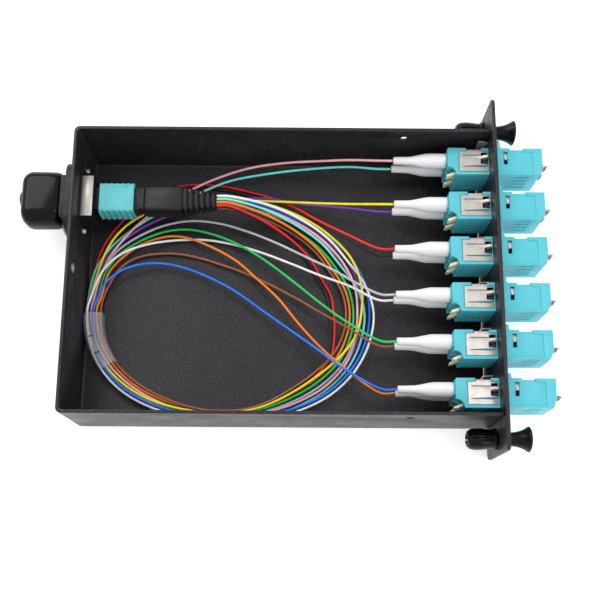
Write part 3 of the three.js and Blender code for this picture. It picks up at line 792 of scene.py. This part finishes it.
def adapter_mesh(y):
    """One duplex adapter: sockets from both ends, bores between them, and its moulded detail."""
    low, high = cad("adapter_body_1")
    x0, x1, side, recess = low.x, high.x, y - 5.3, 3.1
    scoop = [(x0 + recess * math.cos(t), side + recess * math.sin(t))
             for t in (math.radians(90 - 10 * i) for i in range(10))]
    outline = [*scoop, (x1 - 1.2, side), (x1, y - 1.6), (x1, y + 5.3), (x0 + 0.4, y + 5.3), (x0, y + 4.9)]
    body = plan_prism("adapter_1", outline, BOTTOM, TOP)
    flange, foot = PLATE_FRONT, PLATE_FRONT + 1.5
    join(body, end_prism("flange", rounded(6, 11, 0.5, y, PORT_Z, 3), flange, flange + 1.6),
         block("flange_foot", (foot, y - 5.6, BOTTOM - 0.4), (foot + 1.6, y + 5.6, TOP + 0.3)))
    middle = (x0 + x1) / 2
    lever_room = [(x0 - 1, y - 1.4), (x0 - 1, y - 7), (x0 + 5.2, y - 7), (x0 + 4.0, side),
                  (x0 + 0.2, y - 2.0)]
    tools = [plan_prism("lever_room", lever_room, BOTTOM + 0.8, TOP - 0.8)]
    for z in LEVELS.values():
        tools += [block("socket", (start, y - 4.35, z - 2.6), (end, y + 4.25, z + 2.6))
                  for start, end in ((x0 - 1, middle - 1.25), (middle + 1.25, x1 + 1))]
        tools.append(rod("bore", middle - 2, middle + 2, 0.95, y + PORT_SHIFT, z))
    # top face, inner half: a pocket for the panel clip, deeper under its slots and barb
    tools += [block("clip_pocket", (64.7, y - 4.3, TOP - 0.4), (75.6, y + 4.15, TOP + 1)),
              block("clip_step", (67.6, y + 4.1, TOP - 0.4), (73.2, y + 6, TOP + 1)),
              block("side_pocket", (67.6, y + 4.6, PORT_Z - 4), (73.2, y + 6, TOP + 1)),
              block("slot_well", (66.0, y + 2.1, TOP - 0.75), (75.7, y + 2.8, TOP)),
              block("slot_well", (66.0, y - 2.5, TOP - 0.75), (75.7, y - 1.5, TOP))]
    # top face, outer half: a shallow panel, a stepped edge and the window of the clip's other end
    tools += [block("panel", (80.6, y - 4.6, TOP - 0.3), (92.3, y + 3.95, TOP + 1)),
              block("panel_edge", (83.9, y + 3.9, TOP - 0.3), (88.7, y + 6, TOP + 1)),
              block("edge_step", (83.9, y + 4.75, BOTTOM - 1), (88.7, y + 6, TOP + 1)),
              block("window", (81.5, y - 1.05, TOP - 3), (82.95, y + 4.0, TOP + 1))]
    # latch side: rows of short moulded slots on both halves
    for x in (66.3, 85.2):
        for k in range(4):
            z = TOP - 2.3 - 2.5 * k
            tools.append(block("slot", (x + 0.35 * k, side - 1, z - 0.38), (x + 5.6, side + 0.55, z + 0.38)))
    cut(body, *tools)
    return finish_edges(body, 0.16, 2)


def clip_mesh(y):
    """The spring-steel panel clip: a frame round its tongue, a lip over the far edge and a side leaf."""
    t = 0.26
    z = TOP - 0.34
    clip = block("panel_clip_1", (65.1, y - 3.95, z), (75.4, y + 3.9, z + t))
    lip = [(y + 3.6, z + t), (y + 4.6, z + t), (y + 4.88, z + t - 0.25), (y + 4.88, PORT_Z - 3.6),
           (y + 4.64, PORT_Z - 3.6), (y + 4.6, z), (y + 3.6, z)]
    join(clip, end_prism("lip", lip, 67.9, 72.9))
    leaf = [(70.3, y + 4.78), (71.3, y + 6.9), (72.0, y + 7.25), (75.35, y + 7.45), (75.35, y + 7.2),
            (72.1, y + 7.0), (71.5, y + 6.65), (70.6, y + 4.64)]
    join(clip, plan_prism("leaf", leaf, PORT_Z - 3.4, PORT_Z + 1.5))
    widening = [(66.2, y - 2.12), (75.5, y - 2.45), (75.5, y - 1.45), (66.2, y - 1.88)]
    cut(clip, block("slot", (66.3, y + 2.28, z - 1), (73.4, y + 2.62, z + 1)),
        plan_prism("slot", widening, z - 1, z + 1),
        block("hook_window", (72.9, y - 1.05, z - 1), (76, y + 0.95, z + 1)),
        block("side_window", (73.1, y + 2.3, z - 1), (76, y + 3.45, z + 1)))
    # the barb between the windows, lifted where it bears on the plate
    lift = [(72.8, z), (75.3, z + 0.95), (75.35, z + 0.95 + t), (74.6, z + t + 0.85), (72.8, z + t)]
    join(clip, side_prism("barb", lift, y + 1.15, y + 2.1))
    return finish_edges(clip, 0.07, 1)


def add_raised_leaf(y):
    """The top of the first clip's side leaf, which stands higher than the others."""
    leaf = block("panel_clip_leaf", (71.9, y + 7.0, PORT_Z + 1.6), (75.5, y + 7.22, TOP + 1.6))
    cut(leaf, block("leaf_notch", (74.3, y + 6, TOP + 0.9), (76, y + 8, TOP + 2)))
    finish_edges(leaf, 0.05, 1)
    dress(leaf, CLIP, ROOT, "clip_metal")


def clip_shade_block_mesh(y):
    """A black block, with two hook shapes, under the clip's windows: painted shade in the pocket there."""
    shade_block = block("clip_shade_block_1", (72.6, y - 1.3, TOP - 0.72), (75.45, y + 3.6, TOP - 0.4))
    hook = [(73.0, TOP - 0.5), (75.4, TOP - 0.5), (75.4, TOP + 0.35), (74.9, TOP + 0.55),
            (73.7, TOP - 0.2)]
    join(shade_block, side_prism("hook", hook, y - 0.95, y - 0.25),
         side_prism("hook", hook, y + 0.15, y + 0.85))
    return finish_edges(shade_block, 0.08, 2)


def window_clip_mesh(y):
    """The clip's other end, curled up inside the window on the outer half."""
    curl = [(y + 0.9, TOP - 0.9), (y + 1.3, TOP - 0.45), (y + 2.1, TOP - 0.2), (y + 2.9, TOP - 0.35),
            (y + 3.9, TOP - 0.9), (y + 3.9, TOP - 1.2), (y + 2.9, TOP - 0.6), (y + 2.1, TOP - 0.45),
            (y + 1.5, TOP - 0.7), (y + 1.2, TOP - 1.1)]
    return finish_edges(end_prism("clip_end_1", curl, 81.6, 82.85), 0.06, 1, 50)


def copies(first, stem, material, slot, node_stem=None):
    """Dresses the first piece and copies it to the other ports."""
    first.data.materials.append(material)
    for number in range(1, PORTS + 1):
        offset = (0, port_y(number) - FIRST_Y, 0)
        piece = first if number == 1 else copy_to(first, f"{stem}_{number}", offset)
        settle(piece, ROOT, slot, f"{node_stem}_{number}" if node_stem else None)


FIRST_Y = port_y(1)
copies(adapter_mesh(FIRST_Y), "adapter", AQUA, "aqua_plastic", "adapter_body")
copies(clip_mesh(FIRST_Y), "panel_clip", CLIP, "clip_metal")
add_raised_leaf(FIRST_Y)
# the black block under each clip's windows is painted shade
copies(clip_shade_block_mesh(FIRST_Y), "clip_shade_block", BLACK, "black_plastic")
copies(window_clip_mesh(FIRST_Y), "clip_end", CLIP, "clip_metal")

# ---------------------------------------------------------------- simplex connectors


def connector_meshes(y, z):
    """The white boot, the aqua housing with its latch root, and the ivory lever of one connector."""
    axis = y + PORT_SHIFT
    boot = turned("boot", [
        (40.95, 0), (40.95, 0.62), (41.0, 1.2), (41.2, 1.38), (44.0, 1.42), (46.9, 1.5), (48.3, 1.72),
        (50.2, 2.1), (52.2, 2.5), (53.3, 2.66), (54.2, 2.7), (59.6, 2.7), (60.2, 2.62), (60.4, 2.4),
        (60.4, 0)], axis, z, 44)
    finish_edges(boot, 0, angle=50)
    housing = bar("housing", 60.2, 72, axis, z, PORT_HALF, PORT_HALF)
    root = [(60.9, z - 1.25), (64.4, z - 1.25), (64.4, z + 1.25), (60.9, z + 1.25)]
    join(housing, side_prism("latch_root", root, y - 1.9, y - 0.3))
    cut(housing, block("root_notch", (62.2, y - 3, z - 0.45), (63.6, y - 1.2, z + 0.45)))
    finish_edges(housing, 0.25, 3)
    lever = plan_prism("lever", [
        (60.6, y - 5.2), (61.3, y - 5.27), (64.4, y - 3.95), (70, y - 1.75), (70, y - 0.85),
        (64.0, y - 3.1), (61.2, y - 4.3), (60.6, y - 4.45)], z - 1.5, z + 1.5)
    for k in range(3):
        x, side = 61 + 1.1 * k, y - 5 + 0.42 * k
        cut(lever, block("ridge", (x, side - 1, z - 2), (x + 0.4, side, z + 2)))
    cut(lever, block("lever_slot", (64.9, y - 6, z - 0.5), (68.4, y + 1, z + 0.5)))
    finish_edges(lever, 0.12, 2)
    return boot, housing, lever


def add_connectors():
    """Twelve connectors, copied from one."""
    boot, housing, lever = connector_meshes(FIRST_Y, LEVELS["upper"])
    for piece, material in ((boot, WHITE), (housing, AQUA), (lever, IVORY)):
        piece.data.materials.append(material)
    for number in range(1, PORTS + 1):
        for level, z in LEVELS.items():
            place = f"{number}_{level}"
            offset = (0, port_y(number) - FIRST_Y, z - LEVELS["upper"])
            latch = f"lc_latch_{place}"
            for first, stem, *terms in (
                (boot, "boot", ROOT, "white_boot", f"lc_connector_{place}"),
                (housing, "connector_housing", ROOT, "aqua_plastic"),
                (lever, "latch_lever", latch, "ivory_plastic", latch),
            ):
                settle(copy_to(first, f"{stem}_{place}", offset), *terms)
    for piece in (boot, housing, lever):
        bpy.data.objects.remove(piece)


add_connectors()


def add_dust_plugs():
    """Each adapter's plug: two posts, a pull tab on each and a web between them."""
    y = FIRST_Y
    plug, post = (bar("plug", 84, 95.75, y + PORT_SHIFT, z, PORT_HALF, PORT_HALF) for z in LEVELS.values())
    join(plug, post)
    for z in LEVELS.values():
        tab = [(93.5, y - 0.2), (93.5, y - 2.2), (96.0, y - 2.2), (97.4, y - 1.9), (98.2, y - 1.1),
               (98.2, y - 0.7), (97.2, y - 0.2)]
        join(plug, plan_prism("tab", tab, z - 1.2, z + 1.2))
        cut(plug, block("grip", (96.7, y - 3, z - 0.5), (97.3, y + 1, z + 1.6)))
    join(plug, block("web", (96.1, y - 1.9, LEVELS["lower"]), (96.9, y - 0.5, LEVELS["upper"])))
    finish_edges(plug, 0.15, 2)
    plug.data.materials.append(PLUG)
    for number in range(1, PORTS + 1):
        piece = copy_to(plug, f"port_plug_{number}", (0, port_y(number) - FIRST_Y, 0))
        settle(piece, f"dust_plug_{number}", "clear_plug", f"dust_plug_{number}")
    bpy.data.objects.remove(plug)


add_dust_plugs()

# ---------------------------------------------------------------- multi-fibre connector


def add_trunk_adapter():
    y, z = TRUNK_Y, TRUNK_Z
    low, high = cad("trunk_adapter")
    wall_out = -76.05
    flange_out = wall_out - 3.9
    adapter = end_prism("rear_adapter", rounded(8.2, 5.3, 0.8, y, z, 3), low.x, high.x)
    join(adapter, end_prism("flange", rounded(14, 6.6, 6.0, y, z, 8), flange_out, wall_out))
    cut(adapter, bar("inner_socket", -76.6, high.x + 1, y, z, 4.7, 3.1),
        bar("outer_socket", low.x - 1, -77.8, y, z, 4.7, 3.1),
        bar("pins", -78.5, -76, y, z, 3.2, 1.2))
    finish_edges(adapter, 0.2, 2)
    dress(adapter, BLACK, ROOT, "black_plastic", "trunk_adapter")

    # the bright clip across the top of the adapter, bent down at its left edge
    roof = z + 5.3
    band_outline = [(-74.25, roof - 0.5), (-74.0, roof - 0.5), (-73.75, roof + 0.05), (-73.2, roof + 0.22),
                    (-69.75, roof + 0.22), (-69.75, roof + 0.5), (-73.25, roof + 0.5), (-73.95, roof + 0.3)]
    band = side_prism("adapter_band", band_outline, y - 8.3, y + 7.4)
    finish_edges(band, 0.06, 1, 60)
    dress(band, BAND, ROOT, "clip_metal")

    dome = [(-1.5, 0), (-1.45, 0.9), (-1.1, 1.6), (-0.5, 2.0), (0, 2.05), (0, 0)]
    nut_x = -74.8
    for label, side in FAR_AND_NEAR:
        sy = y + side * FLANGE_SCREW_SPAN
        head = turned(f"flange_screw_{label}", [(flange_out + x, radius) for x, radius in dome], sy, z, 32)
        cross = (flange_out - 2, flange_out - 0.8, sy, z)
        cut(head, bar("slot", *cross, 1.3, 0.22), bar("slot", *cross, 0.22, 1.3))
        finish_edges(head, 0.05, 1)
        dress(head, SCREW, ROOT, "screw_steel")
        hexagon = [(sy + 1.75 * math.cos(t), z + 1.75 * math.sin(t))
                   for t in (math.radians(60 * i) for i in range(6))]
        nut = end_prism(f"flange_nut_{label}", hexagon, nut_x, nut_x + 0.9)
        finish_edges(nut, 0.18, 2)
        dress(nut, NUT, ROOT, "screw_steel")
        tip = [(nut_x + 0.6, 0), (nut_x + 0.6, 0.95)]
        for k in range(3):
            tip += [(nut_x + 0.95 + 0.25 * k, 0.95), (nut_x + 1.07 + 0.25 * k, 0.83)]
        tip += [(nut_x + 1.75, 0.75), (nut_x + 1.9, 0.45), (nut_x + 1.95, 0)]
        thread = turned(f"flange_thread_{label}", tip, sy, z, 28)
        finish_edges(thread, 0, angle=60)
        dress(thread, SCREW, ROOT, "screw_steel")


def add_trunk_connector():
    y, z = TRUNK_Y, TRUNK_Z
    core = bar("connector_core", -76, -51.5, y, z, 4.3, 2.7)
    cut(core, block("neck_step", (-55.0, y - 6, z + 2.45), (-53.2, y + 6, z + 3)),
        block("neck_slot", (-53.0, y + 3.9, z - 4), (-52.2, y + 5, z + 4)),
        block("neck_slot", (-53.0, y - 5, z - 4), (-52.2, y - 3.9, z + 4)))
    finish_edges(core, 0.3, 2)
    dress(core, BLACK, ROOT, "black_plastic", "trunk_connector")

    low, high = cad("trunk_sleeve")
    outline = []
    ribs, rib_depth, samples = 6, 0.7, 60
    for i in range(samples + 1):
        x = low.x + (high.x - low.x) * i / samples
        outline.append((x, high.y - rib_depth * abs(math.sin(math.pi * ribs * i / samples)) ** 0.8))
    outline += [(x, 2 * y - b) for x, b in reversed(outline)]
    sleeve = plan_prism("pull_sleeve", outline, low.z, high.z)
    shoulder = end_prism("shoulder", rounded(6, 3.9, 1.5, y, z, 6), low.x - 1, high.x + 1)
    combine(sleeve, [shoulder], "INTERSECT")
    cut(sleeve, bar("sleeve_bore", low.x - 1, high.x + 1, y, z, 4.6, 3),
        block("sleeve_panel", (low.x + 2.2, y - 4.2, high.z - 0.16), (high.x - 2.0, y + 4.2, high.z + 1)))
    finish_edges(sleeve, 0.14, 2, 30)
    dress(sleeve, AQUA_SLEEVE, "trunk_sleeve", "aqua_plastic", "trunk_sleeve")


def loft_x(name, stations, y, z, steps=4):
    """A body of rounded-rectangle sections along X: (x, half width, half height, corner)."""
    bm = bmesh.new()
    rings = [[bm.verts.new(Vector((x, a, b)) * MM) for a, b in rounded(wide, tall, corner, y, z, steps)]
             for x, wide, tall, corner in stations]
    bm.faces.new(rings[0])
    bm.faces.new(rings[-1])
    for one, two in zip(rings, rings[1:]):
        for i in range(len(one)):
            j = (i + 1) % len(one)
            bm.faces.new((one[i], one[j], two[j], two[i]))
    return from_bmesh(name, bm)


def add_trunk_boot():
    start, shoulder, end = -51.2, -37.4, -25
    stations = [(start, 4.5, 3.1, 0.9), (start + 0.5, 4.95, 3.45, 1.1), (shoulder - 1.2, 5.0, 3.5, 1.1),
                (shoulder - 0.1, 4.7, 3.3, 1.1)]
    ribs = 6
    pitch = (end - shoulder) / ribs
    for k in range(ribs):
        x = shoulder + pitch * k
        t = k / ribs
        wide, tall = 4.85 - 2.1 * t, 3.42 - 1.15 * t
        stations += [(x + 0.05, wide - 1.0, tall - 0.85, 0.9), (x + 0.6, wide - 1.0, tall - 0.85, 0.9),
                     (x + 0.72, wide - 0.1, tall - 0.1, 1.0), (x + 0.95, wide, tall, 1.1),
                     (x + pitch - 0.25, wide - 0.3, tall - 0.15, 1.1),
                     (x + pitch - 0.08, wide - 0.45, tall - 0.3, 1.0)]
    boot = loft_x("ribbed_boot", stations, TRUNK_Y, TRUNK_Z)
    finish_edges(boot, 0, angle=40)
    dress(boot, BLACK, ROOT, "black_plastic", "trunk_boot")


def add_dust_cap():
    y, z = TRUNK_Y, TRUNK_Z
    low, high = cad("trunk_dust_cap")
    face, opening, edge = -96.5, -82.3, 3.9
    stations = []
    for i in range(9):
        a = math.radians(90 * i / 8)
        inset = edge * (1 - math.sin(a))
        stations.append((face + edge * (1 - math.cos(a)), 10.7 - inset, 6 - inset * 0.7,
                         max(1.6, 5.1 - 0.8 * inset)))
    stations += [(opening - 6, 10.68, 5.98, 5.1), (opening - 1.6, 10.5, 5.95, 5.0),
                 (opening - 0.5, 10.2, 5.7, 4.8), (opening, 9.7, 5.3, 4.5)]
    cap = loft_x("rubber_cap", stations, y, z, 10)
    nub = turned("nub", [
        (low.x, 0), (low.x + 0.05, 1.4), (low.x + 0.4, 2.7), (low.x + 1.0, 3.4), (face + 1.5, 3.5),
        (face + 1.5, 0)], y, z, 36)
    tongue = bar("tongue", opening - 1, high.x, y, z, 4.3, 2.7)
    join(cap, nub, tongue)
    finish_edges(cap, 0, angle=45)
    dress(cap, BLACK_GLOSS, "trunk_dust_cap", "black_rubber", "trunk_dust_cap")


add_trunk_adapter()
add_trunk_connector()
add_trunk_boot()
add_dust_cap()

# ---------------------------------------------------------------- plungers


def add_plunger(label, y):
    """The turned plunger with its trumpet-shaped knob, and the split grommet it slides in."""
    z = PORT_Z
    start, proud, tail = PLATE_FRONT, 10.9, 67
    neck, flare, lip = 2.3, 4.6, 0.55
    knob_profile = [(tail, 0), (tail, 1.1), (tail + 0.3, 1.4), (start, 1.4), (start, neck)]
    length = proud - 1.4
    for i in range(17):
        t = i / 16
        knob_profile.append((start + length * t, neck + 0.3 * t + (flare - neck - 0.3) * t**3.6))
    for i in range(1, 6):
        a = math.radians(90 * i / 5)
        knob_profile.append((start + length + lip * math.sin(a), flare - lip * (1 - math.cos(a))))
    end = start + proud
    knob_profile += [(end - 0.5, flare - 1.4), (end - 0.12, flare - 3), (end, 0)]
    knob = turned(f"plunger_knob_{label}", knob_profile, y, z, 56)
    finish_edges(knob, 0, angle=50)
    dress(knob, BLACK_KNOB, f"plunger_{label}", "black_plastic", f"plunger_{label}")

    grommet = turned(f"split_grommet_{label}", [
        (65.2, 1.75), (65.2, 2.35), (65.5, 2.85), (66.2, 3.4), (67.2, 3.72), (68.6, 3.85), (70.0, 3.82),
        (72.0, 3.6), (73.6, 3.42), (74.2, 3.4), (74.45, 3.85), (75.4, 3.85), (75.45, 3.8), (75.45, 2.4),
        (77.05, 2.4), (77.05, 1.75)], y, z, 48)
    cut(grommet, bar("slot", 64, 72.4, y, z, 0.2, 5), bar("slot", 64, 72.4, y, z, 5, 0.2))
    finish_edges(grommet, 0.12, 2, 40)
    dress(grommet, BLACK_KNOB, ROOT, "black_plastic", f"grommet_{label}")


for plunger, plunger_side in FAR_AND_NEAR:
    add_plunger(plunger, plunger_side * PLUNGER_Y)

# ---------------------------------------------------------------- stage


def pale_floor():
    g = Graph("pale_floor")
    g.feed("Base Color", g.between(g.noise(60, 3), 0.77, 0.8))
    g.feed("Roughness", g.between(g.noise(20, 3), 0.7, 0.8))
    g.set(Specular_IOR_Level=0.2, Emission_Color=(1, 1, 1, 1), Emission_Strength=0.58)
    return g.material


def add_stage():
    reach = 20000
    floor = block("floor", (-reach, -reach, -6), (reach, reach, -0.05))
    floor.data.materials.append(pale_floor())


def add_light(name, place, target, size, power):
    data = bpy.data.lights.new(name, "AREA")
    data.shape = "RECTANGLE"
    data.size, data.size_y = size
    data.energy = power
    light = bpy.data.objects.new(name, data)
    light.location = place
    light.rotation_euler = (Vector(target) - Vector(place)).to_track_quat("-Z", "Y").to_euler()
    bpy.context.scene.collection.objects.link(light)


def add_world():
    world = bpy.data.worlds.new("studio")
    world.use_nodes = True
    background = world.node_tree.nodes["Background"]
    background.inputs["Color"].default_value = (1, 1, 1, 1)
    background.inputs["Strength"].default_value = 0.76
    bpy.context.scene.world = world


add_stage()
add_world()
add_light("key", (-0.5, 0.55, 0.75), (0, 0, 0), (0.8, 0.6), 4.5)
add_light("side", (0.7, -0.6, 0.5), (0, 0, 0), (0.7, 0.5), 2.5)
add_light("glint", (0.24, 0.03, 0.56), (0.07, -0.03, 0), (0.2, 0.12), 0.35)
bpy.context.scene.view_settings.view_transform = "Standard"
